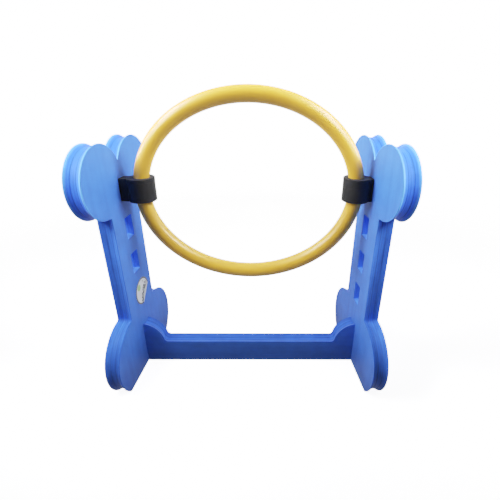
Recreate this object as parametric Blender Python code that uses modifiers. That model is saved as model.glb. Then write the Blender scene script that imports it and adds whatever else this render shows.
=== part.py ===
"""Agility jumping ring for dogs: two foam uprights on a crossbar hold a yellow hoop between them.

Metres, +Z up, the ground at Z = 0. X runs along the crossbar and Y from the front to the rear.
Each size below is set by itself, and what fits to a piece is worked out from that piece's own sizes.
"""

import math

import bmesh
import bpy
from mathutils import Vector

# Fits
GLUE = 0.0003  # glue line between two sheets of a board
FIT = 0.0003  # clearance round a tenon, a plug or a tube

# Foam board: three sheets glued together, with a cove groove all round the rim
BOARD = 0.030
LIP = 0.002  # flat rim left beside the groove at each face
GROOVE_DEPTH = 0.0055

# Uprights: bone-shaped plates, square to the ground and turned out a little at the front
SPAN = 0.472  # between the inner faces, at the crossbar
SPLAY = math.radians(5.0)
SHAFT_WIDTH = 0.1125
FOOT_RADIUS = 0.0815
FOOT_SPREAD = 0.0535  # from the middle of the upright to a foot lobe's centre
FOOT_CUT = 0.0185  # how much of a foot lobe's roundness the flat ground edge takes away
TOP_RADIUS = 0.0665
TOP_OVERLAP = 0.001  # how far each top lobe crosses the middle, at the bottom of the groove
TOP_HEIGHT = 0.436  # height of a top lobe's centre

# Slots for the holders, evenly spaced from the top one to the lowest
SLOT_COUNT = 4
SLOT_TOP_DROP = 0.026  # from the top lobes' centres down to the middle of the top slot
SLOT_LOW_HEIGHT = 0.176
SLOT_WIDTH = 0.027
SLOT_TALL = 0.0436

# Crossbar: a board on edge with a lobe at each shoulder and a tenon through each upright
BAR_TALL = 0.055
SHOULDER_RADIUS = 0.0545
SHOULDER_HEIGHT = 0.050  # height of the shoulder lobe's centre
SHOULDER_INSET = 0.011  # how far past the upright's inner face that centre lies
TENON_LOW = 0.015
TENON_DROP = 0.0195  # from the top of the shoulder lobe down to the tenon
TENON_SHORT = 0.0005  # how far the tenon's end stays inside the upright's outer face

# Hoop: an oval ring of hollow tube whose ends meet over a plug, inside the right collar
HOOP_TALL = 0.372  # over the tube
HOOP_DROP = 0.004  # from the middle of the top slot down to the oval's middle
HOOP_SHIFT = 0.0045  # how far the hoop sits to the right, until its collar nearly meets the upright
TUBE_DIAMETER = 0.029
TUBE_WALL = 0.003
SEAM = 0.0003
JOINT_PLUG_LENGTH = 0.050
JOINT_PLUG_PLAY = 0.0006

# Holders: a collar round the tube, with a neck that plugs into a slot
COLLAR_WALL = 0.0112
COLLAR_LIP = 0.0005  # how far the collar reaches past a slot's height, above and below
COLLAR_GAP = 0.0055  # from the collar to the upright at mid-slot, with the hoop in the middle
PLUG_SHORT = 0.007  # how far the plug's end stays inside the outer face, with the hoop in the middle

# Round label over the lowest slot of the left upright
LABEL_DIAMETER = 0.061
LABEL_SHIFT = 0.0085  # from the slot's middle towards the rear
LABEL_RAISE = 0.002  # above the slot's middle
LABEL_THICKNESS = 0.0008

# Smoothness of the curved surfaces
GROOVE_STEPS = 3
FOOT_STEPS = 14
TOP_STEPS = 26
SHOULDER_STEPS = 8
HOOP_STEPS = 72
ROUND_SIDES = 40
TUBE_RESOLUTION = 4

# Places and sizes that follow from those above
FOOT_HEIGHT = FOOT_RADIUS - FOOT_CUT
TOP_SPREAD = TOP_RADIUS - GROOVE_DEPTH - TOP_OVERLAP
SLOT_TOP_HEIGHT = TOP_HEIGHT - SLOT_TOP_DROP
SLOT_PITCH = (SLOT_TOP_HEIGHT - SLOT_LOW_HEIGHT) / (SLOT_COUNT - 1)
TENON_HIGH = SHOULDER_HEIGHT + SHOULDER_RADIUS - TENON_DROP
COLLAR_DIAMETER = TUBE_DIAMETER + 2 * FIT + 2 * COLLAR_WALL
COLLAR_TALL = SLOT_TALL + 2 * COLLAR_LIP
HOOP_HEIGHT = SLOT_TOP_HEIGHT - HOOP_DROP
HOOP_HALF_WIDTH = SPAN / 2 - COLLAR_GAP - COLLAR_DIAMETER / 2
HOOP_HALF_TALL = (HOOP_TALL - TUBE_DIAMETER) / 2
SHEET = (BOARD - 2 * GLUE) / 3
CUTTER_REACH = 3 * BOARD

FOAM_BLUE = (0.10, 0.26, 0.72)
HOOP_YELLOW = (0.78, 0.56, 0.11)
HOLDER_BLACK = (0.017, 0.015, 0.019)
LABEL_WHITE = (0.72, 0.73, 0.74)


def clear_scene():
    for obj in list(bpy.data.objects):
        bpy.data.objects.remove(obj, do_unlink=True)


def make_collection(name):
    collection = bpy.data.collections.new(name)
    bpy.context.scene.collection.children.link(collection)
    return collection


def make_material(name, colour, roughness):
    material = bpy.data.materials.new(name)
    material.use_nodes = True
    shader = material.node_tree.nodes["Principled BSDF"]
    shader.inputs["Base Color"].default_value = (*colour, 1.0)
    shader.inputs["Roughness"].default_value = roughness
    shader.inputs["Metallic"].default_value = 0.0
    return material


def make_empty(name, location, turn=0.0):
    """A point that pieces are placed from and move with."""
    empty = bpy.data.objects.new(name, None)
    empty.location = location
    empty.rotation_euler = (0.0, 0.0, turn)
    PARTS.objects.link(empty)
    return empty


def make_piece(name, data, material, parent=None):
    piece = bpy.data.objects.new(name, data)
    data.materials.append(material)
    piece.parent = parent
    PARTS.objects.link(piece)
    return piece


def make_cutter(name, mesh):
    cutter = bpy.data.objects.new(name, mesh)
    cutter.hide_render = True
    cutter.display_type = "WIRE"
    CUTTERS.objects.link(cutter)
    return cutter


def add_boolean(piece, other, operation="DIFFERENCE"):
    modifier = piece.modifiers.new(f"{operation.lower()}_{other.name}", "BOOLEAN")
    modifier.operation = operation
    modifier.solver = "EXACT"
    modifier.object = other


def groove_inset(depth):
    """How far the rim lies inside the board's outline at this depth into the board."""
    half = BOARD / 2 - LIP
    offset = depth - BOARD / 2
    if abs(offset) >= half:
        return 0.0
    radius = (half**2 + GROOVE_DEPTH**2) / (2 * GROOVE_DEPTH)
    return math.sqrt(radius**2 - offset**2) - (radius - GROOVE_DEPTH)


def sheet_levels(index):
    """The depths into the board at which sheet 0, 1 or 2 gets a cross-section."""
    start = index * (SHEET + GLUE)
    end = start + SHEET
    if index == 0:
        bounds = [start, LIP, end]
    elif index == 2:
        bounds = [start, BOARD - LIP, end]
    else:
        bounds = [start, end]
    levels = [start]
    for low, high in zip(bounds, bounds[1:]):
        flat = groove_inset(low) == groove_inset(high) == 0.0
        steps = 1 if flat else GROOVE_STEPS
        levels += [low + (high - low) * step / steps for step in range(1, steps + 1)]
    return levels


def arc(centre, radius, start, end, steps):
    """Points along a circle from one angle to another, both ends included."""
    angles = [start + (end - start) * step / steps for step in range(steps + 1)]
    return [(centre[0] + radius * math.cos(a), centre[1] + radius * math.sin(a)) for a in angles]


def loft(name, rings):
    """A closed mesh through rings of equally many points, with a flat cap at each end."""
    mesh = bpy.data.meshes.new(name)
    body = bmesh.new()
    loops = [[body.verts.new(point) for point in ring] for ring in rings]
    for low, high in zip(loops, loops[1:]):
        for i in range(len(low)):
            j = (i + 1) % len(low)
            body.faces.new((low[i], low[j], high[j], high[i]))
    body.faces.new(loops[0])
    body.faces.new(loops[-1])
    bmesh.ops.recalc_face_normals(body, faces=body.faces)
    body.to_mesh(mesh)
    body.free()
    mesh.shade_smooth()
    mesh.set_sharp_from_angle(angle=math.radians(30))
    return mesh


def boxes_mesh(name, boxes):
    """One mesh of separate boxes, each given by its centre and its size."""
    mesh = bpy.data.meshes.new(name)
    body = bmesh.new()
    for centre, size in boxes:
        made = bmesh.ops.create_cube(body, size=1.0)["verts"]
        bmesh.ops.scale(body, vec=size, verts=made)
        bmesh.ops.translate(body, vec=centre, verts=made)
    body.to_mesh(mesh)
    body.free()
    return mesh


def upright_outline(inset):
    """The (Y, Z) outline of an upright, drawn in by the groove: up the front and down the rear."""
    foot = FOOT_RADIUS - inset
    top = TOP_RADIUS - inset
    shaft = SHAFT_WIDTH / 2 - inset
    ground = math.pi + math.asin(FOOT_HEIGHT / foot)
    foot_neck = math.acos((FOOT_SPREAD - shaft) / foot)
    top_neck = 2 * math.pi - math.acos((TOP_SPREAD - shaft) / top)
    notch = math.acos(TOP_SPREAD / top)
    front = arc((-FOOT_SPREAD, FOOT_HEIGHT), foot, ground, foot_neck, FOOT_STEPS)
    front += arc((-TOP_SPREAD, TOP_HEIGHT), top, top_neck, notch, TOP_STEPS)
    rear = [(-y, z) for y, z in reversed(front[:-1])]
    return front + rear


def slot_heights():
    return [SLOT_TOP_HEIGHT - SLOT_PITCH * count for count in range(SLOT_COUNT)]


def make_upright_cutter(name, side):
    """The slots and the mortise, cut along the crossbar so that plugs and tenon slide straight out."""
    x = side * (SPAN + BOARD) / 2
    boxes = []
    for height in slot_heights():
        boxes.append(((x, 0.0, height), (CUTTER_REACH, SLOT_WIDTH, SLOT_TALL)))
    mortise_tall = TENON_HIGH - TENON_LOW + 2 * FIT
    mortise = (CUTTER_REACH, BOARD + 2 * FIT, mortise_tall)
    boxes.append(((x, 0.0, (TENON_HIGH + TENON_LOW) / 2), mortise))
    return make_cutter(name, boxes_mesh(name, boxes))


def make_upright(side_name, side):
    """Three sheets on an empty in the middle of the board, whose X points away from the hoop."""
    turn = SPLAY if side > 0 else math.pi - SPLAY
    base = make_empty(f"{side_name}_upright_base", (side * (SPAN + BOARD) / 2, 0.0, 0.0), turn)
    cutter = make_upright_cutter(f"{side_name}_upright_cutouts", side)
    for index, layer in enumerate(("inner", "core", "outer")):
        rings = []
        for depth in sheet_levels(index):
            outline = upright_outline(groove_inset(depth))
            rings.append([(depth - BOARD / 2, y, z) for y, z in outline])
        name = f"{side_name}_upright_{layer}_sheet"
        sheet = make_piece(name, loft(name, rings), FOAM, base)
        add_boolean(sheet, cutter)
    return base


def upright_face(depth, y):
    """Distance from the middle to the face that lies this deep in an upright, at this Y."""
    middle = (SPAN + BOARD) / 2
    return middle + (depth - BOARD / 2) / math.cos(SPLAY) - y * math.tan(SPLAY)


def crossbar_outline(inset, y):
    """The (X, Z) outline of the crossbar at this Y: the right half, then the left half mirrored."""
    shoulder = upright_face(0.0, y) - FIT
    end = upright_face(BOARD, y) - TENON_SHORT
    centre = (SPAN / 2 + SHOULDER_INSET, SHOULDER_HEIGHT)
    radius = SHOULDER_RADIUS - inset
    start = math.acos((shoulder - centre[0]) / radius)
    finish = math.pi - math.asin((BAR_TALL - inset - SHOULDER_HEIGHT) / radius)
    right = [
        (shoulder, 0.0),
        (shoulder, TENON_LOW),
        (end, TENON_LOW),
        (end, TENON_HIGH),
        (shoulder, TENON_HIGH),
    ]
    right += arc(centre, radius, start, finish, SHOULDER_STEPS)
    left = [(-x, z) for x, z in reversed(right)]
    return right + left


def make_crossbar():
    for index, layer in enumerate(("front", "core", "rear")):
        rings = []
        for depth in sheet_levels(index):
            y = depth - BOARD / 2
            rings.append([(x, y, z) for x, z in crossbar_outline(groove_inset(depth), y)])
        name = f"crossbar_{layer}_sheet"
        make_piece(name, loft(name, rings), FOAM)


def hoop_point(angle):
    """A point on the tube's centre line, seen from the hoop's own middle."""
    return Vector((HOOP_HALF_WIDTH * math.cos(angle), 0.0, HOOP_HALF_TALL * math.sin(angle)))


def ring_angles(low, high):
    """The angles of the tube's own rings between two angles of the oval, and those two."""
    pitch = 2 * math.pi / HOOP_STEPS
    between = [pitch * k for k in range(math.floor(low / pitch) + 1, math.ceil(high / pitch))]
    return [low, *between, high]


def tube_curve(name, angles, radius, capped):
    """A round tube or rod along the hoop's centre line, through these angles of the oval."""
    curve = bpy.data.curves.new(name, "CURVE")
    curve.dimensions = "3D"
    curve.bevel_depth = radius
    curve.bevel_resolution = TUBE_RESOLUTION
    curve.use_fill_caps = capped
    spline = curve.splines.new("POLY")
    spline.points.add(len(angles) - 1)
    for point, angle in zip(spline.points, angles):
        point.co = (*hoop_point(angle), 1.0)
    return curve


def make_hoop(centre):
    """The tube runs from the seam at the right collar once round and back to it."""
    gap = SEAM / 2 / HOOP_HALF_TALL
    angles = ring_angles(gap, 2 * math.pi - gap)
    tube = tube_curve("hoop_tube", angles, TUBE_DIAMETER / 2, False)
    hoop = make_piece("hoop_tube", tube, YELLOW, centre)
    wall = hoop.modifiers.new("wall", "SOLIDIFY")
    wall.thickness = TUBE_WALL
    wall.offset = -1.0
    reach = JOINT_PLUG_LENGTH / 2 / HOOP_HALF_TALL
    radius = TUBE_DIAMETER / 2 - TUBE_WALL - JOINT_PLUG_PLAY
    plug = tube_curve("hoop_joint_plug", ring_angles(-reach, reach), radius, True)
    make_piece("hoop_joint_plug", plug, BLACK, centre)


def mesh_from_curve(name, curve, centre):
    """The closed mesh of a capped tube, in the hoop's place."""
    guide = bpy.data.objects.new(name + "_guide", curve)
    PARTS.objects.link(guide)
    guide.parent = centre
    bpy.context.view_layer.update()
    evaluated = guide.evaluated_get(bpy.context.evaluated_depsgraph_get())
    mesh = bpy.data.meshes.new_from_object(evaluated)
    mesh.transform(guide.matrix_world)
    bpy.data.objects.remove(guide, do_unlink=True)
    body = bmesh.new()
    body.from_mesh(mesh)
    bmesh.ops.remove_doubles(body, verts=body.verts, dist=1e-6)
    bmesh.ops.recalc_face_normals(body, faces=body.faces)
    body.to_mesh(mesh)
    body.free()
    return mesh


def collar_mesh(name):
    mesh = bpy.data.meshes.new(name)
    body = bmesh.new()
    radius = COLLAR_DIAMETER / 2
    bmesh.ops.create_cone(
        body, cap_ends=True, segments=ROUND_SIDES, radius1=radius, radius2=radius, depth=COLLAR_TALL
    )
    body.to_mesh(mesh)
    body.free()
    mesh.shade_smooth()
    mesh.set_sharp_from_angle(angle=math.radians(30))
    return mesh


def make_holder(side_name, side, centre):
    """A collar on the hoop's widest point, with its neck and plug pointing outward."""
    name = f"{side_name}_holder"
    holder = make_piece(name, collar_mesh(name), BLACK, centre)
    holder.location = (side * HOOP_HALF_WIDTH, 0.0, HOOP_DROP)

    plug_end = upright_face(BOARD, SLOT_WIDTH / 2) - PLUG_SHORT
    neck_length = plug_end - HOOP_HALF_WIDTH
    neck_size = (neck_length, SLOT_WIDTH - 2 * FIT, SLOT_TALL - 2 * FIT)
    neck_x = HOOP_SHIFT + side * (HOOP_HALF_WIDTH + plug_end) / 2
    neck_centre = (neck_x, 0.0, SLOT_TOP_HEIGHT)
    neck = make_cutter(f"{name}_neck", boxes_mesh(f"{name}_neck", [(neck_centre, neck_size)]))
    add_boolean(holder, neck, "UNION")

    reach = COLLAR_TALL / HOOP_HALF_TALL
    middle = 0.0 if side > 0 else math.pi
    bore_name = f"{name}_bore"
    radius = TUBE_DIAMETER / 2 + FIT
    curve = tube_curve(bore_name, ring_angles(middle - reach, middle + reach), radius, True)
    bore = make_cutter(bore_name, mesh_from_curve(bore_name, curve, centre))
    add_boolean(holder, bore)


def make_label(base):
    """A thin disc on the inner face, over the lowest slot."""
    mesh = bpy.data.meshes.new("round_label")
    body = bmesh.new()
    radius = LABEL_DIAMETER / 2
    bmesh.ops.create_cone(
        body, cap_ends=True, segments=ROUND_SIDES, radius1=radius, radius2=radius, depth=LABEL_THICKNESS
    )
    body.to_mesh(mesh)
    body.free()
    label = make_piece("round_label", mesh, WHITE, base)
    out = BOARD / 2 + FIT + LABEL_THICKNESS / 2
    label.location = (-out, -LABEL_SHIFT, slot_heights()[-1] + LABEL_RAISE)
    label.rotation_euler = (0.0, math.radians(90), 0.0)


clear_scene()
PARTS = make_collection("agility_jumping_ring")
CUTTERS = make_collection("cutters")
FOAM = make_material("foam_blue", FOAM_BLUE, 0.75)
YELLOW = make_material("hoop_yellow", HOOP_YELLOW, 0.40)
BLACK = make_material("holder_black", HOLDER_BLACK, 0.65)
WHITE = make_material("label_white", LABEL_WHITE, 0.45)

left_base = make_upright("left", -1)
make_upright("right", 1)
make_crossbar()
hoop_centre = make_empty("hoop_centre", (HOOP_SHIFT, 0.0, HOOP_HEIGHT))
make_hoop(hoop_centre)
make_holder("left", -1, hoop_centre)
make_holder("right", 1, hoop_centre)
make_label(left_base)
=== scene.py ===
"""Looks of the agility jumping ring: fine foam boards, a smooth hoop, its holders and a plain round label.

Metres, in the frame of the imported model: +Z up, the ground at Z = 0, the front towards -Y.
"""

import math

import bmesh
import bpy
from mathutils import Matrix, Vector, noise
from mathutils.geometry import tessellate_polygon


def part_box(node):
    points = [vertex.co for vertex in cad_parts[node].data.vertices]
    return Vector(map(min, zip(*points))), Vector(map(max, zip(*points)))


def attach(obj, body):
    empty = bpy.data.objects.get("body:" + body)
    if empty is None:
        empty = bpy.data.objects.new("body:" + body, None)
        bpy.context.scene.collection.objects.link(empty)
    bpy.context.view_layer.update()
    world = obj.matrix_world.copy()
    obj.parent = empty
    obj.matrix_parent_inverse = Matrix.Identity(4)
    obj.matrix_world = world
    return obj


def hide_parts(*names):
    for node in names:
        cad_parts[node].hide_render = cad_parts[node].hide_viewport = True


# Board, as in the model: three sheets glued together, with a cove groove round the rim
FIT = 0.0003  # play between parts that plug into each other
BOARD = 0.030
LIP = 0.0006  # flat between face and groove; in the model it is 2 mm
GROOVE_DEPTH = 0.0055

# Uprights: bone-shaped boards that are toed out by the splay
SPAN = 0.472  # between the inner faces, halfway along them
SPLAY = math.radians(5.0)
SHAFT_WIDTH = 0.1125
FOOT_RADIUS = 0.0815
FOOT_SPREAD = 0.0535  # from the middle to the centre of a foot lobe
FOOT_HEIGHT = 0.063
TOP_RADIUS = 0.0665
TOP_SPREAD = 0.060
TOP_HEIGHT = 0.436
SLOT_HEIGHTS = (0.410, 0.332, 0.254, 0.176)
SLOT_WIDTH = 0.027
SLOT_TALL = 0.0436

# Crossbar, with a lobe-shaped shoulder and a tenon at each end
BAR_TALL = 0.055
SHOULDER_RADIUS = 0.0545
SHOULDER_HEIGHT = 0.050
SHOULDER_INSET = 0.011
TENON_LOW = 0.015
TENON_HIGH = 0.085
TENON_SHORT = 0.0005  # the tenon ends this far inside the outer face

# Hoop and holders
TUBE_DIAMETER = 0.029
TUBE_WALL = 0.003
SEAM = 0.0003
COLLAR_DIAMETER = 0.052
COLLAR_TALL = 0.0446
NECK_TALL = SLOT_TALL - 2 * FIT
NECK_WIDTH = SLOT_WIDTH - 2 * FIT
NECK_START = 0.6  # from the collar's middle to where it starts to get lower, in radii of the collar
NECK_RUN = 0.5  # and from there to where it is as low as the neck

# Round label on the inner face of the left upright
LABEL_RADIUS = 0.0305
LABEL_HEIGHT = SLOT_HEIGHTS[-1] + 0.002
LABEL_SHIFT = 0.0085  # towards the rear
LABEL_GAP = 0.0004
LABEL_FILM = 0.00022
FOLD_TURN = math.radians(-137)  # direction of the folded corner: to the rear and down
FOLD_PLACE = 0.0170  # from the label's middle to the fold
FOLD_RADIUS = 0.00045
FOLD_LIFT = 0.0012

# Softness that only shows here: rounded edges and corners
FACE_EDGE = 0.0018  # radius between an upright's face and its rim
BAR_EDGE = 0.0021  # the same on the crossbar
GROOVE_BLUR = 0.0007  # rounds the two edges of the groove
SEAM_GAP = 0.0001  # at each glue line
SEAM_CHAMFER = 0.0004
SHEET = (BOARD - 2 * SEAM_GAP) / 3
NECK_FILLET = 0.0030  # where a lobe meets the shaft
SHOULDER_FILLET = 0.0070  # where the crossbar's shoulder meets its top
NOTCH_FILLET = 0.0012  # between the two top lobes
SLOT_CORNER = 0.0012
SLOT_MOUTH = 0.0009
MORTISE_CORNER = 0.0004
HOLDER_EDGE = 0.0011
HOLDER_CORNER = 0.0012  # at the end of the neck
HOLDER_FILLET = 0.0020  # between the collar and the neck
BORE_GAP = 0.0001

# The holders' unevenness
HOLDER_WAIST = 0.0004  # how far the collar's side draws in at mid-height
HOLDER_WOBBLE = 0.0003  # in and out
HOLDER_LIFT = 0.0004  # up and down
WOBBLE_CELLS = (45, 70)  # per metre, across and up
LIFT_CELLS = 60
WOBBLE_SEED = 3.0  # taken with its sign turned round on the left, so that the holders differ
LIFT_SEED = 5.0
LINE_HEIGHTS = {"left": 0.0150, "right": 0.0054}  # of the faint line round each collar, above its middle
LINE_DEPTH = 0.00036
LINE_HALF = 0.0005
LINE_STEPS = (-0.0006, -0.0002, 0.0, 0.0002, 0.0006)
LINE_CLEAR = 0.0009  # no other cross-section lies this close to the line

# Smoothness of the curved surfaces
EDGE_STEPS = 6
RIM_STEPS = 10
FOOT_STEPS = 44
TOP_STEPS = 80
SHOULDER_STEPS = 26
FILLET_STEPS = 5
CORNER_STEPS = 4
NECK_STEPS = 6
BLUR_STEPS = 4
HOOP_STEPS = 240
HOOP_SIDES = 40
COLLAR_STEPS = 96
BORE_STEPS = 48
HOLDER_STEPS = 22
LABEL_RINGS = 30
LABEL_STEPS = 120
BOARD_SHARP = math.radians(38)  # edges that turn by more than this stay sharp
HOOP_SHARP = math.radians(60)
FACE_WEIGHT = 80  # how strongly a large face sets the shading of the edge next to it

# In the materials below, a noise has its cells per metre, levels of detail and the finer levels' strength.
# Rounded cells have their number per metre and their smoothness, and a bump has its depth and strength.

# Foam: its colours, among them painted highlight and painted light, and where one runs into the other
FOAM_FACE = (0.050, 0.149, 0.65)
FOAM_CUT = (0.050, 0.155, 0.76)
# painted light: the slot walls are brighter and bluer than the rims, for light bounced round inside the slots
PAINTED_SLOT_LIGHT = (0.090, 0.250, 1.00)
# painted highlight: the pale cyan of the lobes' lips where they catch the light
PAINTED_LIP_HIGHLIGHT = (0.130, 0.370, 0.96)
# painted light: the rims' brighter blue up at the lobes, where more light falls
PAINTED_LOBE_LIGHT = (0.044, 0.144, 0.97)
LIP_LIGHT_BAND = (0.0060, 0.0010)  # a lip starts and is full this far from the board's face; the lips carry painted highlight and painted shade
PAINTED_LOBE_BAND = (0.33, 0.41)  # heights between which a rim's colour turns into the lobes' painted light

# Foam: its textures and its painted shade, and how much each changes the tone
MOTTLE = (34, 3.0, 0.55)
MOTTLE_TONE = 0.34
GRAIN = (620, 3.0, 0.6)
GRAIN_TONE = 0.34
BANDS = (1.0, 2.0, 0.5)  # at places scaled by BAND_CELLS
BAND_CELLS = (5, 70)  # per metre, along the grain and across it
BAND_TONE = 0.30
STREAKS = (1.0, 3.0, 0.7)  # at places scaled by STREAK_CELLS
STREAK_CELLS = (12, 480)  # per metre, along the rim and across it
STREAK_TONE = 1.0
JOINT_BAND = (0.0004, 0.0016)  # from a glue line: where its dark line starts to fade and where it ends
JOINT_TONE = -0.22
PAINTED_SHADE_HEIGHT = 0.115  # painted shade: below this the foam gets darker, for the weaker light near the floor
PAINTED_SHADE_TONE = 0.38
PAINTED_SHADE_OFF_RIM = 0.6  # share of the painted shade that the rims don't have

# Foam: its surface
FOAM_SURFACE = {"Sheen Weight": 0.03, "Sheen Roughness": 0.40, "IOR": 1.45, "Specular IOR Level": 0.10}
FOAM_ROUGH = (0.18, 0.44)  # what the grain adds at most, and the least roughness
FOAM_CELLS = (760, 0.6)
GRAIN_RELIEF = 0.55
CELL_RELIEF = -0.5
FOAM_BUMP = (0.00035, 0.8)

# Hoop
HOOP_COLOUR = (0.70, 0.385, 0.042)
HOOP_AMBER = (0.64, 0.325, 0.032)
HOOP_SURFACE = {"IOR": 1.58}
CLOUDS = (22, 3.0, 0.6)
CLOUD_BAND = (0.30, 0.80)
AMBER_SHARE = 0.40
SPECKS = (900, 2.0, 0.5)
SPECK_TONE = 0.10
SPECK_RELIEF = 0.05
SCUFFS = (1.0, 2.0, 0.5)  # at places scaled by SCUFF_CELLS
SCUFF_CELLS = (60, 260, 60)  # per metre, along each axis
SCUFF_RELIEF = 0.5
HOOP_ROUGH = (0.08, 0.33)  # what the scuffs add at most, and the least roughness
HOOP_BUMP = (0.00008, 0.15)

# Holders and joint plug
RUBBER_COLOUR = (0.0058, 0.0058, 0.0066)
RUBBER_ROUGH = 0.55
PLUG_COLOUR = (0.03, 0.03, 0.03)
PLUG_ROUGH = 0.40
RUBBER_SURFACE = {"Sheen Weight": 0.05, "Sheen Roughness": 0.5, "Specular IOR Level": 0.30}
PORES = (1300, 0.4)
FINE_GRAIN = (1500, 2.0, 0.6)
FINE_GRAIN_TONE = 0.8
FINE_GRAIN_RELIEF = 0.5
DUST = (90, 4.0, 0.6)
DUST_TONE = 0.9
DUST_ROUGH = 0.2
RUBBER_BUMP = (0.00022, 0.7)

# Label: the range of its wear, and the tone and roughness of its two sides at the ends of that range
WEAR_BAND = (0.2, 0.8)
PRINT_TONE = (0.88, 1.06)
PRINT_ROUGH = (0.30, 0.50)
PRINT_BUMP = (0.0004, 0.6)
BACK_COLOUR = (0.55, 0.56, 0.57)
BACK_WEAR = (700, 3.0, 0.6)
BACK_TONE = (0.85, 1.05)
BACK_ROUGH = (0.55, 0.75)
BACK_BUMP = (0.0001, 0.5)

# The label's print, in millimetres from its middle: across towards the front, and up
PRINT_RIPPLE = (0.35, 3.0, 0.6)  # this and the next two have their cells per millimetre
PRINT_WEAR = (1.6, 3.0, 0.7)
DOT_CELLS = (0.15, 0.0)
PATCH_PLACE = (13.0, 14.0)
PATCH_SQUARE = (66.0, 96.0)  # the patch fades over these squared distances, with its ripple added
PATCH_RIPPLE = 60.0
DOT_BAND_PLACE = -8.0
DOT_BAND_LEAN = 0.35
DOT_BAND_HALF = (9.0, 11.0)
DOT_SIZE = (0.42, 0.50)  # in cells
DOT_LIMIT = (24.5, 25.5)
# painted shadow: dark from here out to the label's edge
EDGE_SHADOW_BAND = (26.8, 27.6)
PRINT_WHITE = (0.54, 0.56, 0.60)
PRINT_GREEN = (0.26, 0.42, 0.17)
PRINT_DOT = (0.03, 0.03, 0.04)
# colour of the painted shadow along the label's edge
PAINTED_EDGE_SHADOW = (0.05, 0.06, 0.07)
PRINT_SURFACE = {"IOR": 1.45, "Coat Weight": 0.25, "Coat Roughness": 0.25}

# Camera, fitted to the photograph
PHOTO_WIDTH = 500.0
SENSOR = 36.0
FOCAL_PIXELS = 342.1
CENTRE_PIXEL = (265.6, 240.5)
CAMERA_PLACE = (0.0352, -0.6368, 0.5865)
CAMERA_PITCH = math.radians(-24.08)
CAMERA_YAW = math.radians(0.10)
CAMERA_ROLL = math.radians(0.14)
CLIP_START = 0.01

# Floor
FLOOR_SURFACE = {
    "Base Color": (0.80, 0.80, 0.80, 1.0),
    "Roughness": 0.9,
    "Emission Color": (1.0, 1.0, 1.0, 1.0),
    "Emission Strength": 3.3,
}
FLOOR_REACH = 3.0
FLOOR_EDGE = (0.8, 1.6)  # metres from the middle over which the floor fades into the white surroundings

# Tone: the brightness that comes out pure white, and the brightnesses at which the curve is set
WHITE = 4.0
SHOULDER = (0.05, 0.1, 0.2, 0.3, 0.4, 0.55, 0.75, 1.0, 1.3, 1.7, 2.3)
SHOULDER_POWER = 1.5

# Light from the surroundings along each axis: the mean of its two ends, and half their difference
SKY_MEAN = (0.06, 1.20, 0.42)
SKY_LEAN = (0.00, 1.16, -0.41)

# Lamps: name, place, target, size, power in watts, and the beam's full angle in degrees
LAMPS = (
    ("overhead", (0.0, 0.0, 1.02), (0.0, 0.0, 0.0), (0.9, 0.55), 1.6),
    ("left_cross", (0.35, 0.0, 0.95), (-0.26, 0.0, 0.49), (0.3, 0.4), 0.90, 44.0),
    ("right_cross", (-0.35, 0.0, 0.95), (0.26, 0.0, 0.49), (0.3, 0.4), 1.05, 44.0),
    ("left_side", (-0.95, 0.0, 0.75), (0.25, 0.0, 0.53), (0.6, 0.6), 2.20, 40.0),
    ("right_side", (0.95, 0.0, 0.75), (-0.25, 0.0, 0.53), (0.6, 0.6), 1.95, 40.0),
    ("left_near", (-0.62, -0.15, 0.88), (-0.25, 0.0, 0.46), (0.35, 0.35), 1.15, 60.0),
    ("right_near", (0.62, -0.15, 0.88), (0.25, 0.0, 0.50), (0.35, 0.35), 0.66, 50.0),
    ("left_close", (-0.49, -0.32, 0.72), (-0.26, -0.05, 0.43), (0.22, 0.22), 1.45, 96.0),
    ("right_close", (0.46, -0.28, 0.70), (0.27, -0.06, 0.50), (0.22, 0.22), 0.80, 70.0),
    ("rear_panel", (0.0, 1.2, 0.70), (0.0, 0.0, 0.60), (3.0, 1.2), 7.0),
)


def arc(centre, radius, start, end, steps):
    """Points along a circle from one angle to another, both ends included."""
    angles = [start + (end - start) * step / steps for step in range(steps + 1)]
    return [(centre[0] + radius * math.cos(a), centre[1] + radius * math.sin(a)) for a in angles]


def direction(origin, point):
    """The angle at which a point lies from another."""
    return math.atan2(point[1] - origin[1], point[0] - origin[0])


def raw_groove(depth):
    """The model's cove: how far the rim lies inside the board's outline at this depth."""
    half = BOARD / 2 - LIP
    offset = abs(depth - BOARD / 2)
    if offset >= half:
        return 0.0
    radius = (half**2 + GROOVE_DEPTH**2) / (2 * GROOVE_DEPTH)
    return math.sqrt(radius**2 - offset**2) - (radius - GROOVE_DEPTH)


def groove_inset(depth):
    """The cove with its two edges rounded off."""
    shifts = range(-BLUR_STEPS, BLUR_STEPS + 1)
    near = [raw_groove(depth + GROOVE_BLUR * shift / BLUR_STEPS) for shift in shifts]
    return sum(near) / len(near)


def rounded_edge(radius):
    """(rise, inset) up a quarter round, from the face until just before the side."""
    turns = [math.pi / 2 * step / EDGE_STEPS for step in range(EDGE_STEPS)]
    return [(radius * (1 - math.cos(turn)), radius * (1 - math.sin(turn))) for turn in turns]


def sheet_profile(index, radius):
    """(depth, edge inset, groove inset) at each cross-section of sheet 0, 1 or 2 of a board."""
    start = index * (SHEET + SEAM_GAP)
    end = start + SHEET
    low, high = start + SEAM_CHAMFER, end - SEAM_CHAMFER
    before, after = [(start, SEAM_CHAMFER)], [(end, SEAM_CHAMFER)]
    if index == 0:
        low = radius
        before = rounded_edge(radius)
    if index == 2:
        high = BOARD - radius
        after = [(BOARD - rise, inset) for rise, inset in reversed(rounded_edge(radius))]
    rim = [(low + (high - low) * step / RIM_STEPS, 0.0) for step in range(RIM_STEPS + 1)]
    return [(depth, edge, groove_inset(depth)) for depth, edge in before + rim + after]


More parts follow.
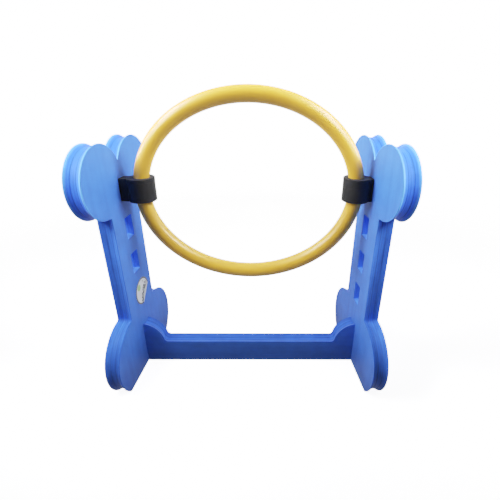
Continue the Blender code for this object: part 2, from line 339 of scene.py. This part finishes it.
def upright_outline(edge, groove):
    """The (Y, Z) outline of an upright with its inside corners rounded: up the front, down the rear."""
    inset = edge + groove
    foot = FOOT_RADIUS - inset
    top = TOP_RADIUS - inset
    shaft = SHAFT_WIDTH / 2 - inset
    neck = NECK_FILLET + inset
    notch = NOTCH_FILLET + inset
    foot_centre = (-FOOT_SPREAD, FOOT_HEIGHT)
    top_centre = (-TOP_SPREAD, TOP_HEIGHT)

    neck_y = -(shaft + neck)
    low_rise = math.sqrt((foot + neck) ** 2 - (neck_y + FOOT_SPREAD) ** 2)
    high_drop = math.sqrt((top + neck) ** 2 - (neck_y + TOP_SPREAD) ** 2)
    notch_rise = math.sqrt((top + notch) ** 2 - TOP_SPREAD**2)
    low_neck = (neck_y, FOOT_HEIGHT + low_rise)
    high_neck = (neck_y, TOP_HEIGHT - high_drop)
    notch_centre = (0.0, TOP_HEIGHT + notch_rise)

    ground = math.pi + math.asin((FOOT_HEIGHT - edge) / foot)
    foot_end = direction(foot_centre, low_neck)
    front = arc(foot_centre, foot, ground, foot_end, FOOT_STEPS)
    front += arc(low_neck, neck, direction(low_neck, foot_centre), 0.0, FILLET_STEPS)[1:]
    top_start = direction(top_centre, high_neck)
    front += arc(high_neck, neck, 0.0, direction(high_neck, top_centre), FILLET_STEPS)
    notch_start = direction(top_centre, notch_centre)
    front += arc(top_centre, top, top_start + 2 * math.pi, notch_start, TOP_STEPS)[1:]
    notch_end = direction(notch_centre, top_centre)
    front += arc(notch_centre, notch, notch_end, -math.pi / 2, FILLET_STEPS)[1:]
    rear = [(-y, z) for y, z in reversed(front[:-1])]
    return front + rear


def rounded_rectangle(centre, half_width, half_tall, corner):
    """The (Y, Z) outline of a hole."""
    points = []
    for quarter in range(4):
        start = math.pi / 2 * quarter
        side_y = 1 if quarter in (0, 3) else -1
        side_z = 1 if quarter in (0, 1) else -1
        middle = (centre[0] + side_y * (half_width - corner), centre[1] + side_z * (half_tall - corner))
        points += arc(middle, corner, start, start + math.pi / 2, CORNER_STEPS)
    return points


def bridge(body, low, high):
    """A band of faces between two rings of vertices."""
    for i in range(len(low)):
        j = (i + 1) % len(low)
        body.faces.new((low[i], low[j], high[j], high[i]))


def smooth_mesh(name, body, sharp=math.pi):
    """The finished body as a mesh that is shaded smooth, but for edges that turn by more than sharp."""
    mesh = bpy.data.meshes.new(name)
    body.to_mesh(mesh)
    body.free()
    mesh.shade_smooth()
    if sharp < math.pi:
        mesh.set_sharp_from_angle(angle=sharp)
    return mesh


def board_mesh(name, rings, holes, depths):
    """A closed body through outline rings, with holes right through it.

    Its vertices carry the depth of their ring, and whether they are on a cut wall and inside a hole.
    """
    body = bmesh.new()
    cut = body.verts.layers.float.new("cut")
    inside = body.verts.layers.float.new("inside")
    layer = body.verts.layers.float.new("depth")
    walls = [[[body.verts.new(point) for point in ring] for ring in stack] for stack in (rings, *holes)]
    for stack in walls:
        for place, ring in enumerate(stack):
            for vertex in ring:
                vertex[cut] = float(0 < place < len(stack) - 1)
                vertex[inside] = float(stack is not walls[0])
                vertex[layer] = depths[place]
        for low, high in zip(stack, stack[1:]):
            bridge(body, low, high)
    for level in (0, -1):
        loops = [stack[level] for stack in walls]
        corners = [vertex for loop in loops for vertex in loop]
        for triangle in tessellate_polygon([[vertex.co for vertex in loop] for loop in loops]):
            body.faces.new([corners[i] for i in triangle])
    bmesh.ops.recalc_face_normals(body, faces=body.faces)
    return smooth_mesh(name, body, BOARD_SHARP)


def make_piece(name, mesh, material, body, nodes):
    """An object that stands for some nodes of the model and moves with a body of it."""
    piece = bpy.data.objects.new(name, mesh)
    mesh.materials.append(material)
    bpy.context.scene.collection.objects.link(piece)
    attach(piece, body)
    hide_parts(*nodes)
    return piece


def weigh_normals(piece):
    """Keeps flat faces flat where they run into a rounded edge."""
    modifier = piece.modifiers.new("weighted_normals", "WEIGHTED_NORMAL")
    modifier.keep_sharp = True
    modifier.weight = FACE_WEIGHT


def upright_matrix(side):
    """From the board's own axes, whose X points away from the hoop, to the model's."""
    turn = SPLAY if side > 0 else math.pi - SPLAY
    place = Matrix.Translation((side * (SPAN + BOARD) / 2, 0.0, 0.0))
    return place @ Matrix.Rotation(turn, 4, "Z")


def make_upright(side_name, side, material):
    """Three foam sheets with the four slots and the crossbar's mortise through them, cut along X."""
    body = f"{side_name}_upright"
    matrix = upright_matrix(side)
    shear = -side * math.tan(SPLAY)
    widen = 1 / math.cos(SPLAY)
    mortise_middle = (TENON_LOW + TENON_HIGH) / 2
    mortise_half = (TENON_HIGH - TENON_LOW) / 2 + FIT
    for index, layer in enumerate(("inner", "core", "outer")):
        rings = []
        holes = [[] for _ in range(len(SLOT_HEIGHTS) + 1)]
        profile = sheet_profile(index, FACE_EDGE)
        for depth, edge, groove in profile:
            x = depth - BOARD / 2
            rings.append([matrix @ Vector((x, y, z)) for y, z in upright_outline(edge, groove)])
            mouth = edge * SLOT_MOUTH / FACE_EDGE
            y = shear * x
            outlines = []
            for height in SLOT_HEIGHTS:
                half_width = SLOT_WIDTH / 2 * widen + mouth
                corner = SLOT_CORNER + mouth
                outlines.append(rounded_rectangle((y, height), half_width, SLOT_TALL / 2 + mouth, corner))
            half_width = (BOARD / 2 + FIT) * widen + mouth
            corner = MORTISE_CORNER + mouth
            outlines.append(rounded_rectangle((y, mortise_middle), half_width, mortise_half + mouth, corner))
            for hole, outline in zip(holes, outlines):
                hole.append([matrix @ Vector((x, *point)) for point in outline])
        name = f"{body}_{layer}_foam"
        mesh = board_mesh(name, rings, holes, [depth for depth, _, _ in profile])
        piece = make_piece(name, mesh, material, body, [f"{body}_{layer}_sheet"])
        weigh_normals(piece)


def upright_face(depth, y):
    """Distance from the middle to the face that lies this deep in an upright, at this Y."""
    middle = (SPAN + BOARD) / 2
    return middle + (depth - BOARD / 2) / math.cos(SPLAY) - y * math.tan(SPLAY)


def crossbar_outline(edge, groove, y):
    """The (X, Z) outline of the crossbar at this Y: the right half, then the left half mirrored."""
    inset = edge + groove
    shoulder = upright_face(0.0, y) - FIT
    end = upright_face(BOARD, y) - TENON_SHORT - edge
    centre = (SPAN / 2 + SHOULDER_INSET, SHOULDER_HEIGHT)
    radius = SHOULDER_RADIUS - inset
    fillet = SHOULDER_FILLET + inset
    fillet_z = BAR_TALL - inset + fillet
    reach = math.sqrt((radius + fillet) ** 2 - (fillet_z - SHOULDER_HEIGHT) ** 2)
    fillet_centre = (centre[0] - reach, fillet_z)
    start = math.acos((shoulder - centre[0]) / radius)
    finish = direction(centre, fillet_centre)
    right = [
        (shoulder, edge),
        (shoulder, TENON_LOW + edge),
        (end, TENON_LOW + edge),
        (end, TENON_HIGH - edge),
        (shoulder, TENON_HIGH - edge),
    ]
    right += arc(centre, radius, start, finish, SHOULDER_STEPS)
    back = direction(fillet_centre, centre)
    right += arc(fillet_centre, fillet, back, -math.pi / 2, FILLET_STEPS)[1:]
    left = [(-x, z) for x, z in reversed(right)]
    return right + left


def make_crossbar(material):
    """Three foam sheets whose tenons reach through the uprights."""
    for index, layer in enumerate(("front", "core", "rear")):
        rings = []
        profile = sheet_profile(index, BAR_EDGE)
        for depth, edge, groove in profile:
            y = depth - BOARD / 2
            rings.append([Vector((x, y, z)) for x, z in crossbar_outline(edge, groove, y)])
        name = f"crossbar_{layer}_foam"
        mesh = board_mesh(name, rings, [], [depth for depth, _, _ in profile])
        piece = make_piece(name, mesh, material, "crossbar", [f"crossbar_{layer}_sheet"])
        weigh_normals(piece)


def hoop_sizes():
    """The oval's centre, and half its width and height along the tube's centre line, from the model's box."""
    low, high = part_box("hoop_tube")
    centre = (low + high) / 2
    return centre, (high.x - low.x - TUBE_DIAMETER) / 2, (high.z - low.z - TUBE_DIAMETER) / 2


def make_hoop(material, centre, half_width, half_tall):
    """A tube swept along the oval, open at the two ends of its seam inside the right collar."""
    body = bmesh.new()
    gap = SEAM / 2 / half_tall
    shells = []
    for radius in (TUBE_DIAMETER / 2, TUBE_DIAMETER / 2 - TUBE_WALL):
        rings = []
        for step in range(HOOP_STEPS + 1):
            angle = gap + (2 * math.pi - 2 * gap) * step / HOOP_STEPS
            middle = centre + Vector((half_width * math.cos(angle), 0.0, half_tall * math.sin(angle)))
            outward = Vector((half_tall * math.cos(angle), 0.0, half_width * math.sin(angle))).normalized()
            ring = []
            for side in range(HOOP_SIDES):
                turn = 2 * math.pi * side / HOOP_SIDES
                offset = outward * math.cos(turn) + Vector((0.0, math.sin(turn), 0.0))
                ring.append(body.verts.new(middle + radius * offset))
            rings.append(ring)
        shells.append(rings)
    outer, inner = shells
    joins = [pair for rings in shells for pair in zip(rings, rings[1:])]
    joins += [(outer[0], inner[0]), (outer[-1], inner[-1])]
    for low, high in joins:
        bridge(body, low, high)
    bmesh.ops.recalc_face_normals(body, faces=body.faces)
    mesh = smooth_mesh("hoop", body, HOOP_SHARP)
    make_piece("hoop", mesh, material, "hoop", ["hoop_tube"])


def holder_levels(line):
    """(height above the middle, edge inset, waist) up a holder, with a faint line at one height."""
    half = COLLAR_TALL / 2
    rounded = rounded_edge(HOLDER_EDGE)
    low, high = -half + HOLDER_EDGE, half - HOLDER_EDGE
    heights = [low + (high - low) * step / HOLDER_STEPS for step in range(HOLDER_STEPS + 1)]
    heights = [height for height in heights if abs(height - line) > LINE_CLEAR]
    heights += [line + step for step in LINE_STEPS]
    levels = [(-half + rise, inset) for rise, inset in rounded]
    levels += [(height, 0.0) for height in sorted(heights)]
    levels += [(half - rise, inset) for rise, inset in reversed(rounded)]
    found = []
    for height, edge in levels:
        waist = HOLDER_WAIST * (1 - (height / half) ** 2)
        mark = max(0.0, 1 - abs(height - line) / LINE_HALF)
        found.append((height, edge, waist + LINE_DEPTH * mark))
    return found


def holder_outline(height, edge, waist, neck_length, seed):
    """The (out, across) outline of collar and neck at one height, from the neck's end all the way round."""
    radius = COLLAR_DIAMETER / 2 - edge - waist
    half = NECK_WIDTH / 2 - edge
    fillet = HOLDER_FILLET + edge
    reach = math.sqrt((radius + fillet) ** 2 - (half + fillet) ** 2)
    fillet_centre = (reach, half + fillet)
    end = neck_length - edge - HOLDER_CORNER
    upper = arc((end, half - HOLDER_CORNER), HOLDER_CORNER, 0.0, math.pi / 2, CORNER_STEPS)
    upper += [(reach + (end - reach) * (1 - step / NECK_STEPS), half) for step in range(1, NECK_STEPS)]
    start = direction((0.0, 0.0), fillet_centre)
    upper += arc(fillet_centre, fillet, -math.pi / 2, start - math.pi, FILLET_STEPS)
    around = []
    across_cells, up_cells = WOBBLE_CELLS
    for x, y in arc((0.0, 0.0), radius, start, 2 * math.pi - start, COLLAR_STEPS)[1:-1]:
        place = Vector((x * across_cells, y * across_cells, height * up_cells + seed))
        away = min(1.0, max(0.0, (reach - x) / radius))
        scale = 1 + HOLDER_WOBBLE * away * noise.noise(place) / radius
        around.append((x * scale, y * scale))
    lower = [(x, -y) for x, y in reversed(upper)]
    return upper + around + lower


def make_holder(side_name, side, material, centre, half_width, half_tall):
    """A collar with a bore that follows the tube, and a neck that is a little less tall."""
    low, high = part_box(f"{side_name}_holder")
    collar = COLLAR_DIAMETER / 2
    middle = Vector((centre.x + side * half_width, 0.0, SLOT_HEIGHTS[0]))
    neck_length = (high.x if side > 0 else -low.x) - side * middle.x
    rings, bore = [], []
    levels = holder_levels(LINE_HEIGHTS[side_name])
    for height, edge, waist in levels:
        ring = []
        for out, across in holder_outline(height, edge, waist, neck_length, side * WOBBLE_SEED):
            share = min(1.0, max(0.0, (out - NECK_START * collar) / (NECK_RUN * collar)))
            squeeze = 1 + share * (NECK_TALL / COLLAR_TALL - 1)
            place = Vector((out * LIFT_CELLS, across * LIFT_CELLS, side * LIFT_SEED))
            lift = HOLDER_LIFT * (1 - share) * noise.noise(place)
            up = height * squeeze + lift * height / (COLLAR_TALL / 2)
            ring.append(middle + Vector((side * out, across, up)))
        rings.append(ring)
        rise = (middle.z + height - centre.z) / half_tall
        slope = half_width * rise / (half_tall * math.sqrt(1 - rise**2))
        tube_x = side * half_width * math.sqrt(1 - rise**2)
        stretch = math.sqrt(1 + slope**2)
        radius = TUBE_DIAMETER / 2 + BORE_GAP + edge
        loop = []
        for step in range(BORE_STEPS):
            turn = 2 * math.pi * step / BORE_STEPS
            x = centre.x + tube_x + radius * stretch * math.cos(turn)
            loop.append(Vector((x, radius * math.sin(turn), middle.z + height)))
        bore.append(loop)
    name = f"{side_name}_rubber_holder"
    mesh = board_mesh(name, rings, [bore], [height for height, _, _ in levels])
    piece = make_piece(name, mesh, material, "hoop", [f"{side_name}_holder"])
    weigh_normals(piece)


def make_label(front, back):
    """A thin round film on the inner face of the left upright, with one corner folded over."""
    matrix = upright_matrix(-1)
    toward = Vector((math.cos(FOLD_TURN), math.sin(FOLD_TURN)))
    body = bmesh.new()
    layer = body.verts.layers.float_vector.new("print_place")

    def film_point(radius, turn):
        """A vertex of the film, which turns back over itself past the fold."""
        flat = Vector((radius * math.cos(turn), radius * math.sin(turn)))
        past = flat.dot(toward) - FOLD_PLACE
        height = 0.0
        place = flat.copy()
        if past > 0:
            bend = math.pi * FOLD_RADIUS
            along = min(past, bend) / FOLD_RADIUS
            moved = FOLD_RADIUS * math.sin(along)
            height = FOLD_RADIUS * (1 - math.cos(along))
            if past > bend:
                rest = past - bend
                moved -= rest
                height += FOLD_LIFT * (rest / (LABEL_RADIUS - FOLD_PLACE)) ** 2
            place += toward * (moved - past)
        x = -(BOARD / 2 + LABEL_GAP + LABEL_FILM / 2 + height)
        vertex = body.verts.new(matrix @ Vector((x, place.x - LABEL_SHIFT, LABEL_HEIGHT + place.y)))
        vertex[layer] = Vector((flat.x, flat.y, 0.0)) * 1000  # millimetres
        return vertex

    middle = film_point(0.0, 0.0)
    rings = []
    for ring in range(1, LABEL_RINGS + 1):
        radius = LABEL_RADIUS * ring / LABEL_RINGS
        rings.append([film_point(radius, 2 * math.pi * step / LABEL_STEPS) for step in range(LABEL_STEPS)])
    for i in range(LABEL_STEPS):
        body.faces.new((middle, rings[0][(i + 1) % LABEL_STEPS], rings[0][i]))
    for low, high in zip(rings, rings[1:]):
        bridge(body, low, high)
    mesh = smooth_mesh("label_film", body)
    piece = make_piece("label_film", mesh, front, "left_upright", ["round_label"])
    mesh.materials.append(back)
    film = piece.modifiers.new("film", "SOLIDIFY")
    film.thickness = LABEL_FILM
    film.offset = 0.0
    film.material_offset = 1
    film.material_offset_rim = 1


def make_camera():
    """The photograph's camera."""
    data = bpy.data.cameras.new("camera")
    data.sensor_width = SENSOR
    data.lens = FOCAL_PIXELS * SENSOR / PHOTO_WIDTH
    data.shift_x = (PHOTO_WIDTH / 2 - CENTRE_PIXEL[0]) / PHOTO_WIDTH
    data.shift_y = (CENTRE_PIXEL[1] - PHOTO_WIDTH / 2) / PHOTO_WIDTH
    data.clip_start = CLIP_START
    camera = bpy.data.objects.new("camera", data)
    bpy.context.scene.collection.objects.link(camera)
    aim = Matrix.Rotation(-CAMERA_YAW, 4, "Z") @ Matrix.Rotation(math.pi / 2 + CAMERA_PITCH, 4, "X")
    camera.matrix_world = Matrix.Translation(CAMERA_PLACE) @ aim @ Matrix.Rotation(CAMERA_ROLL, 4, "Z")
    bpy.context.scene.camera = camera


class Shader:
    """A material whose nodes are added and joined by short calls."""

    def __init__(self, name, settings):
        self.material = bpy.data.materials.new(name)
        self.material.use_nodes = True
        self.tree = self.material.node_tree
        self.surface = self.tree.nodes["Principled BSDF"]
        for socket, value in settings.items():
            self.surface.inputs[socket].default_value = value
        self.place = self.add("ShaderNodeTexCoord").outputs["Object"]

    def add(self, kind, **values):
        node = self.tree.nodes.new(kind)
        for key, value in values.items():
            setattr(node, key, value)
        return node

    def feed(self, socket, value):
        """Links a node's output to the socket, or sets the socket to a plain value."""
        if isinstance(value, bpy.types.NodeSocket):
            self.tree.links.new(value, socket)
        else:
            socket.default_value = value

    def math(self, operation, first, second=0.0, third=0.0):
        node = self.add("ShaderNodeMath", operation=operation)
        for socket, value in zip(node.inputs, (first, second, third)):
            self.feed(socket, value)
        return node.outputs[0]

    def attribute(self, name, output="Fac"):
        return self.add("ShaderNodeAttribute", attribute_name=name).outputs[output]

    def split(self, vector):
        node = self.add("ShaderNodeSeparateXYZ")
        self.feed(node.inputs[0], vector)
        return node.outputs

    def join(self, x, y, z):
        node = self.add("ShaderNodeCombineXYZ")
        for socket, value in zip(node.inputs, (x, y, z)):
            self.feed(socket, value)
        return node.outputs[0]

    def stretched(self, x, y, z):
        """The place, scaled differently along each axis."""
        node = self.add("ShaderNodeMapping")
        self.feed(node.inputs["Vector"], self.place)
        node.inputs["Scale"].default_value = (x, y, z)
        return node.outputs[0]

    def noise(self, scale, detail, roughness, vector=None):
        """Noise from about 0 to 1, in cells as wide as 1 / scale."""
        node = self.add("ShaderNodeTexNoise")
        self.feed(node.inputs["Vector"], vector or self.place)
        for socket, value in (("Scale", scale), ("Detail", detail), ("Roughness", roughness)):
            node.inputs[socket].default_value = value
        return node.outputs[0]

    def cells(self, scale, smooth, vector=None):
        """Rounded cells: the distance from each cell's middle."""
        node = self.add("ShaderNodeTexVoronoi", feature="SMOOTH_F1")
        self.feed(node.inputs["Vector"], vector or self.place)
        node.inputs["Scale"].default_value = scale
        node.inputs["Smoothness"].default_value = smooth
        return node.outputs["Distance"]

    def span(self, value, low, high, start=0.0, end=1.0):
        """Turns low..high into start..end smoothly, and stays there outside."""
        node = self.add("ShaderNodeMapRange", interpolation_type="SMOOTHSTEP")
        for socket, number in zip(node.inputs, (value, low, high, start, end)):
            self.feed(socket, number)
        return node.outputs[0]

    def mix(self, factor, first, second):
        """The first colour at factor 0, the second at factor 1."""
        node = self.add("ShaderNodeMix", data_type="RGBA")
        self.feed(node.inputs["Factor"], factor)
        for socket, value in (("A", first), ("B", second)):
            target = next(s for s in node.inputs if s.name == socket and s.type == "RGBA")
            self.feed(target, (*value, 1.0) if isinstance(value, tuple) else value)
        return next(s for s in node.outputs if s.type == "RGBA")

    def vary(self, texture, amount, around=0.0):
        """A value that goes up and down with a texture, by an amount in all."""
        return self.math("MULTIPLY_ADD", self.math("SUBTRACT", texture, 0.5), amount, around)

    def length(self, vector):
        node = self.add("ShaderNodeVectorMath", operation="LENGTH")
        self.feed(node.inputs[0], vector)
        return node.outputs["Value"]

    def brighten(self, colour, amount):
        """The colour times a number."""
        node = self.add("ShaderNodeVectorMath", operation="SCALE")
        self.feed(node.inputs[0], colour)
        self.feed(node.inputs["Scale"], amount)
        return node.outputs[0]

    def finish(self, colour, roughness, relief, depth, strength):
        """Joins colour, roughness and relief to the surface."""
        self.feed(self.surface.inputs["Base Color"], colour)
        self.feed(self.surface.inputs["Roughness"], roughness)
        bump = self.add("ShaderNodeBump")
        bump.inputs["Strength"].default_value = strength
        bump.inputs["Distance"].default_value = depth
        self.feed(bump.inputs["Height"], relief)
        self.feed(self.surface.inputs["Normal"], bump.outputs[0])
        return self.material


def foam_material(name, long_axis, lip_light_and_shade, pale):
    """Closed-cell foam: skinned faces, and cut rims with fine lines along them and a dark line at each joint.

    The grain runs along the board's long axis. The lips are the rim's two edges, with a tone that paints
    highlight on them when it is above 0 and shade when it is below 0; pale is how much of the pale cyan
    painted highlight they have on the lobes. The foam also has painted shade towards the floor, painted light
    on the lobes' rims, and brighter slot walls that stand for light bounced inside the slots.
    """
    shader = Shader(name, FOAM_SURFACE)
    cut = shader.attribute("cut")
    depth = shader.attribute("depth")
    parts = shader.split(shader.place)
    height = parts[2]
    mottle = shader.noise(*MOTTLE)
    grain = shader.noise(*GRAIN)
    cells = shader.cells(*FOAM_CELLS)

    along, across = BAND_CELLS
    stretch = [along if axis == long_axis else across for axis in range(3)]
    bands = shader.noise(*BANDS, shader.stretched(*stretch))
    along, across = STREAK_CELLS
    rim_place = shader.join(
        shader.math("MULTIPLY", depth, across),
        shader.math("MULTIPLY", parts[1 if long_axis == 2 else 0], along),
        shader.math("MULTIPLY", height, along),
    )
    streaks = shader.noise(*STREAKS, rim_place)

    # From the nearest glue line or face, so that the rim's own corners get a dark line too
    from_joint = shader.math("PINGPONG", shader.math("SUBTRACT", depth, BOARD / 3), BOARD / 6)
    joint = shader.span(from_joint, *JOINT_BAND, 1.0, 0.0)
    from_middle = shader.math("ABSOLUTE", shader.math("SUBTRACT", depth, BOARD / 2))
    edge = shader.span(from_middle, *(BOARD / 2 - band for band in LIP_LIGHT_BAND))

    face = shader.math("SUBTRACT", 1.0, cut)
    tone = shader.vary(grain, GRAIN_TONE, shader.vary(mottle, MOTTLE_TONE, 1.0))
    tone = shader.math("MULTIPLY_ADD", shader.vary(bands, BAND_TONE), face, tone)
    lined = shader.math("MULTIPLY_ADD", joint, JOINT_TONE, shader.vary(streaks, STREAK_TONE))
    # Painted highlight on the uprights' lips and painted shade on the crossbar's lips
    tone = shader.math("MULTIPLY_ADD", shader.math("MULTIPLY_ADD", edge, lip_light_and_shade, lined), cut, tone)
    # Painted shade: darker towards the floor, where less light falls
    painted_shade = shader.span(height, 0.0, PAINTED_SHADE_HEIGHT, PAINTED_SHADE_TONE, 0.0)
    painted_shade = shader.math("MULTIPLY", painted_shade, shader.math("MULTIPLY_ADD", cut, -PAINTED_SHADE_OFF_RIM, 1.0))
    tone = shader.math("MULTIPLY", tone, shader.math("SUBTRACT", 1.0, painted_shade))

    # Painted light: the rims turn a brighter blue up at the lobes
    high = shader.span(height, *PAINTED_LOBE_BAND)
    # Painted highlight: pale cyan on the lobes' lips
    lip_highlight_share = shader.math("MULTIPLY", edge, shader.math("MULTIPLY", high, pale))
    rim = shader.mix(lip_highlight_share, shader.mix(high, FOAM_CUT, PAINTED_LOBE_LIGHT), PAINTED_LIP_HIGHLIGHT)
    # Painted light: brighter, bluer slot walls for the light bounced inside the slots
    wall = shader.mix(shader.attribute("inside"), rim, PAINTED_SLOT_LIGHT)
    colour = shader.brighten(shader.mix(cut, FOAM_FACE, wall), tone)

    rough = shader.math("MULTIPLY_ADD", grain, *FOAM_ROUGH)
    relief = shader.math("MULTIPLY_ADD", grain, GRAIN_RELIEF, shader.math("MULTIPLY", cells, CELL_RELIEF))
    relief = shader.math("MULTIPLY_ADD", lined, cut, relief)
    return shader.finish(colour, rough, relief, *FOAM_BUMP)


def hoop_material():
    """Satin plastic tube: faint clouds in the colour and a fine handled surface."""
    shader = Shader("hoop_plastic", HOOP_SURFACE)
    clouds = shader.noise(*CLOUDS)
    specks = shader.noise(*SPECKS)
    scuffs = shader.noise(*SCUFFS, shader.stretched(*SCUFF_CELLS))
    colour = shader.mix(shader.span(clouds, *CLOUD_BAND, 0.0, AMBER_SHARE), HOOP_COLOUR, HOOP_AMBER)
    colour = shader.brighten(colour, shader.vary(specks, SPECK_TONE, 1.0))
    rough = shader.math("MULTIPLY_ADD", scuffs, *HOOP_ROUGH)
    relief = shader.math("MULTIPLY_ADD", scuffs, SCUFF_RELIEF, shader.math("MULTIPLY", specks, SPECK_RELIEF))
    return shader.finish(colour, rough, relief, *HOOP_BUMP)


def rubber_material(name, colour, roughness):
    """Foam rubber or dull plastic: fine pores and a little dust."""
    shader = Shader(name, RUBBER_SURFACE)
    pores = shader.cells(*PORES)
    grain = shader.noise(*FINE_GRAIN)
    dust = shader.noise(*DUST)
    tone = shader.vary(grain, FINE_GRAIN_TONE, shader.vary(dust, DUST_TONE, 1.0))
    rough = shader.math("MULTIPLY_ADD", dust, DUST_ROUGH, roughness)
    relief = shader.math("MULTIPLY_ADD", grain, FINE_GRAIN_RELIEF, pores)
    return shader.finish(shader.brighten(colour, tone), rough, relief, *RUBBER_BUMP)


def print_material():
    """A plain film label: white with a dark band of painted shadow along its edge, a green patch and a
    scatter of grey dots.
    """
    shader = Shader("label_print", PRINT_SURFACE)
    place = shader.attribute("print_place", "Vector")
    from_middle = shader.length(place)
    across, up, _ = shader.split(place)
    ripple = shader.noise(*PRINT_RIPPLE, place)
    wear = shader.noise(*PRINT_WEAR, place)

    squares = [
        shader.math("POWER", shader.math("SUBTRACT", part, middle), 2.0)
        for part, middle in zip((across, up), PATCH_PLACE)
    ]
    away = shader.math("MULTIPLY_ADD", ripple, PATCH_RIPPLE, shader.math("ADD", *squares))
    patch = shader.span(away, *PATCH_SQUARE, 1.0, 0.0)
    dots = shader.span(shader.cells(*DOT_CELLS, place), *DOT_SIZE, 1.0, 0.0)
    from_band = shader.math("SUBTRACT", across, DOT_BAND_PLACE)
    from_band = shader.math("ABSOLUTE", shader.math("MULTIPLY_ADD", up, DOT_BAND_LEAN, from_band))
    band = shader.span(from_band, *DOT_BAND_HALF, 1.0, 0.0)
    inside = shader.span(from_middle, *DOT_LIMIT, 1.0, 0.0)
    dots = shader.math("MULTIPLY", dots, shader.math("MULTIPLY", band, inside))

    colour = shader.mix(patch, PRINT_WHITE, PRINT_GREEN)
    colour = shader.mix(dots, colour, PRINT_DOT)
    # Painted shadow: a dark band along the film's edge
    colour = shader.mix(shader.span(from_middle, *EDGE_SHADOW_BAND), colour, PAINTED_EDGE_SHADOW)
    colour = shader.brighten(colour, shader.span(wear, *WEAR_BAND, *PRINT_TONE))
    rough = shader.span(wear, *WEAR_BAND, *PRINT_ROUGH)
    return shader.finish(colour, rough, ripple, *PRINT_BUMP)


def back_material():
    """The label's pale sticky side."""
    shader = Shader("label_back", {})
    wear = shader.noise(*BACK_WEAR)
    colour = shader.brighten(BACK_COLOUR, shader.span(wear, *WEAR_BAND, *BACK_TONE))
    rough = shader.span(wear, *WEAR_BAND, *BACK_ROUGH)
    return shader.finish(colour, rough, wear, *BACK_BUMP)


def make_floor():
    """A white floor that the jump neither mirrors nor takes light from."""
    mesh = bpy.data.meshes.new("floor")
    body = bmesh.new()
    bmesh.ops.create_grid(body, x_segments=1, y_segments=1, size=FLOOR_REACH)
    body.to_mesh(mesh)
    body.free()
    floor = bpy.data.objects.new("floor", mesh)
    shader = Shader("floor", FLOOR_SURFACE)
    fade = shader.span(shader.length(shader.place), *FLOOR_EDGE, 1.0, 0.0)
    shader.feed(shader.surface.inputs["Alpha"], fade)
    mesh.materials.append(shader.material)
    bpy.context.scene.collection.objects.link(floor)
    floor.visible_diffuse = False
    floor.visible_glossy = False


def make_light(name, place, target, size, power, spread=180.0):
    """A soft rectangular lamp."""
    data = bpy.data.lights.new(name, "AREA")
    data.shape = "RECTANGLE"
    data.size, data.size_y = size
    data.energy = power
    data.spread = math.radians(spread)
    light = bpy.data.objects.new(name, data)
    bpy.context.scene.collection.objects.link(light)
    light.location = place
    light.rotation_euler = (Vector(target) - Vector(place)).to_track_quat("-Z", "Y").to_euler()


def make_studio():
    """White surroundings that light the jump unevenly, and a few soft lamps."""
    world = bpy.data.worlds.new("studio")
    bpy.context.scene.world = world
    world.use_nodes = True
    tree = world.node_tree
    background = tree.nodes["Background"]
    background.inputs["Color"].default_value = (1.0, 1.0, 1.0, 1.0)
    way = tree.nodes.new("ShaderNodeTexCoord").outputs["Generated"]

    def combine(kind, operation, first, second):
        """The result of a node that takes two vectors or values."""
        node = tree.nodes.new(kind)
        node.operation = operation
        for socket, value in zip(node.inputs, (first, second)):
            if isinstance(value, tuple):
                socket.default_value = value
            else:
                tree.links.new(value, socket)
        return node.outputs["Value" if operation in ("DOT_PRODUCT", "ADD") else "Vector"]

    vector = "ShaderNodeVectorMath"
    size = combine(vector, "ABSOLUTE", way, way)
    even = combine(vector, "DOT_PRODUCT", combine(vector, "MULTIPLY", way, way), SKY_MEAN)
    uneven = combine(vector, "DOT_PRODUCT", combine(vector, "MULTIPLY", way, size), SKY_LEAN)
    light = combine("ShaderNodeMath", "ADD", even, uneven)
    seen = tree.nodes.new("ShaderNodeLightPath").outputs["Is Camera Ray"]
    choose = tree.nodes.new("ShaderNodeMix")
    tree.links.new(seen, choose.inputs["Factor"])
    tree.links.new(light, choose.inputs["A"])
    choose.inputs["B"].default_value = WHITE
    tree.links.new(choose.outputs[0], background.inputs["Strength"])
    for lamp in LAMPS:
        make_light(*lamp)


def make_tone():
    """A photographic shoulder: bright colours get paler instead of running into their limit."""
    view = bpy.context.scene.view_settings
    view.view_transform = "Standard"
    view.use_curve_mapping = True
    mapping = view.curve_mapping
    mapping.extend = "HORIZONTAL"
    mapping.white_level = (WHITE, WHITE, WHITE)
    points = mapping.curves[3].points  # the curve for all three colours
    points[0].location = (0.0, 0.0)
    points[1].location = (1.0, 1.0)
    for value in SHOULDER:
        points.new(value / WHITE, value / (1 + value**SHOULDER_POWER) ** (1 / SHOULDER_POWER))
    mapping.update()


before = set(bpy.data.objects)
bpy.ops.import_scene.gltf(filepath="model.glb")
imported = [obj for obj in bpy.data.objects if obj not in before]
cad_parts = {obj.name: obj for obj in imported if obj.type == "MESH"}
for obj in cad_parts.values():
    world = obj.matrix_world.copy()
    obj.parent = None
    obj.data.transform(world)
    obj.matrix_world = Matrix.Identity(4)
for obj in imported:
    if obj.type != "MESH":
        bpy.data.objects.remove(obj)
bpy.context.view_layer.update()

rubber = rubber_material("holder_rubber", RUBBER_COLOUR, RUBBER_ROUGH)
# The lip tone paints highlight on the uprights' lips and shade on the crossbar's
foam = foam_material("upright_foam", long_axis=2, lip_light_and_shade=0.10, pale=0.70)
make_upright("left", -1, foam)
make_upright("right", 1, foam)
make_crossbar(foam_material("crossbar_foam", long_axis=0, lip_light_and_shade=-0.16, pale=0.0))
HOOP = hoop_sizes()
make_hoop(hoop_material(), *HOOP)
make_holder("left", -1, rubber, *HOOP)
make_holder("right", 1, rubber, *HOOP)
make_label(print_material(), back_material())
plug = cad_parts["hoop_joint_plug"].data.materials
plug.clear()
plug.append(rubber_material("plug_plastic", PLUG_COLOUR, PLUG_ROUGH))

make_camera()
make_floor()
make_studio()
make_tone()
